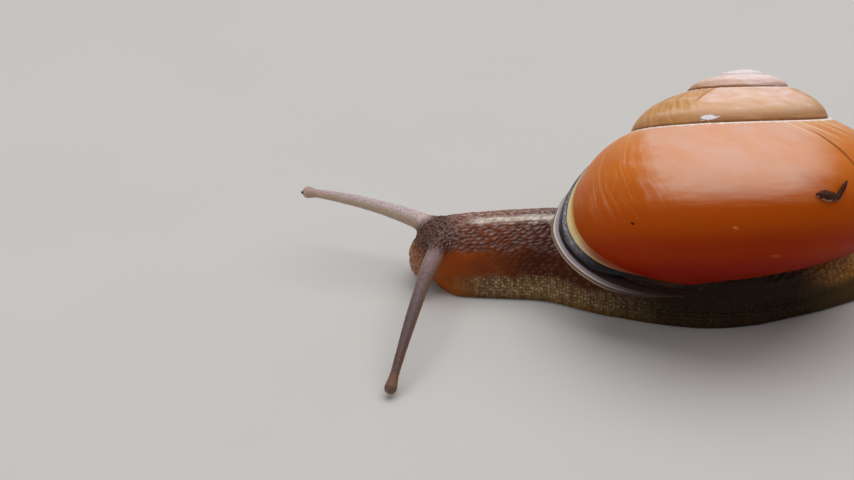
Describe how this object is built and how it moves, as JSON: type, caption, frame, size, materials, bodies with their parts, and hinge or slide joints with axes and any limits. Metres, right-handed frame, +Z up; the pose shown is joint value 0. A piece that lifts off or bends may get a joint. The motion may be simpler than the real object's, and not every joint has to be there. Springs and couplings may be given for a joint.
{
  "type": "land snail",
  "caption": "Life-size land snail crawling on its flat sole, with a round coiled shell, two eye tentacles held out in a V and two short feelers.",
  "frame": {"origin": "on the floor under the sole, at the middle of the animal's outline seen from above", "axes": "-X towards the head, +Z up, -Y towards the animal's left flank, the side that is seen"},
  "size_m": [0.045, 0.0218, 0.0152],
  "materials": {
    "shell": "glossy",
    "lip": "glossy",
    "mantle": "moist",
    "skin": "moist, bumpy",
    "sole": "moist",
    "tentacle": "moist",
    "eye": "glossy"
  },
  "bodies": {
    "root": {"shell": "shell", "shell_lip": "lip", "mantle": "mantle", "mantle_edge": "mantle", "stalk": "skin", "head": "skin", "neck": "skin", "trunk": "skin", "tail": "skin", "foot_sole": "sole", "tentacle_left_base": "tentacle", "tentacle_left_middle": "tentacle", "tentacle_left_tip": "tentacle", "tentacle_right_base": "tentacle", "tentacle_right_middle": "tentacle", "tentacle_right_tip": "tentacle", "feeler_left": "tentacle", "feeler_right": "tentacle", "eye_left": "eye", "eye_right": "eye"}
  },
  "joints": []
}
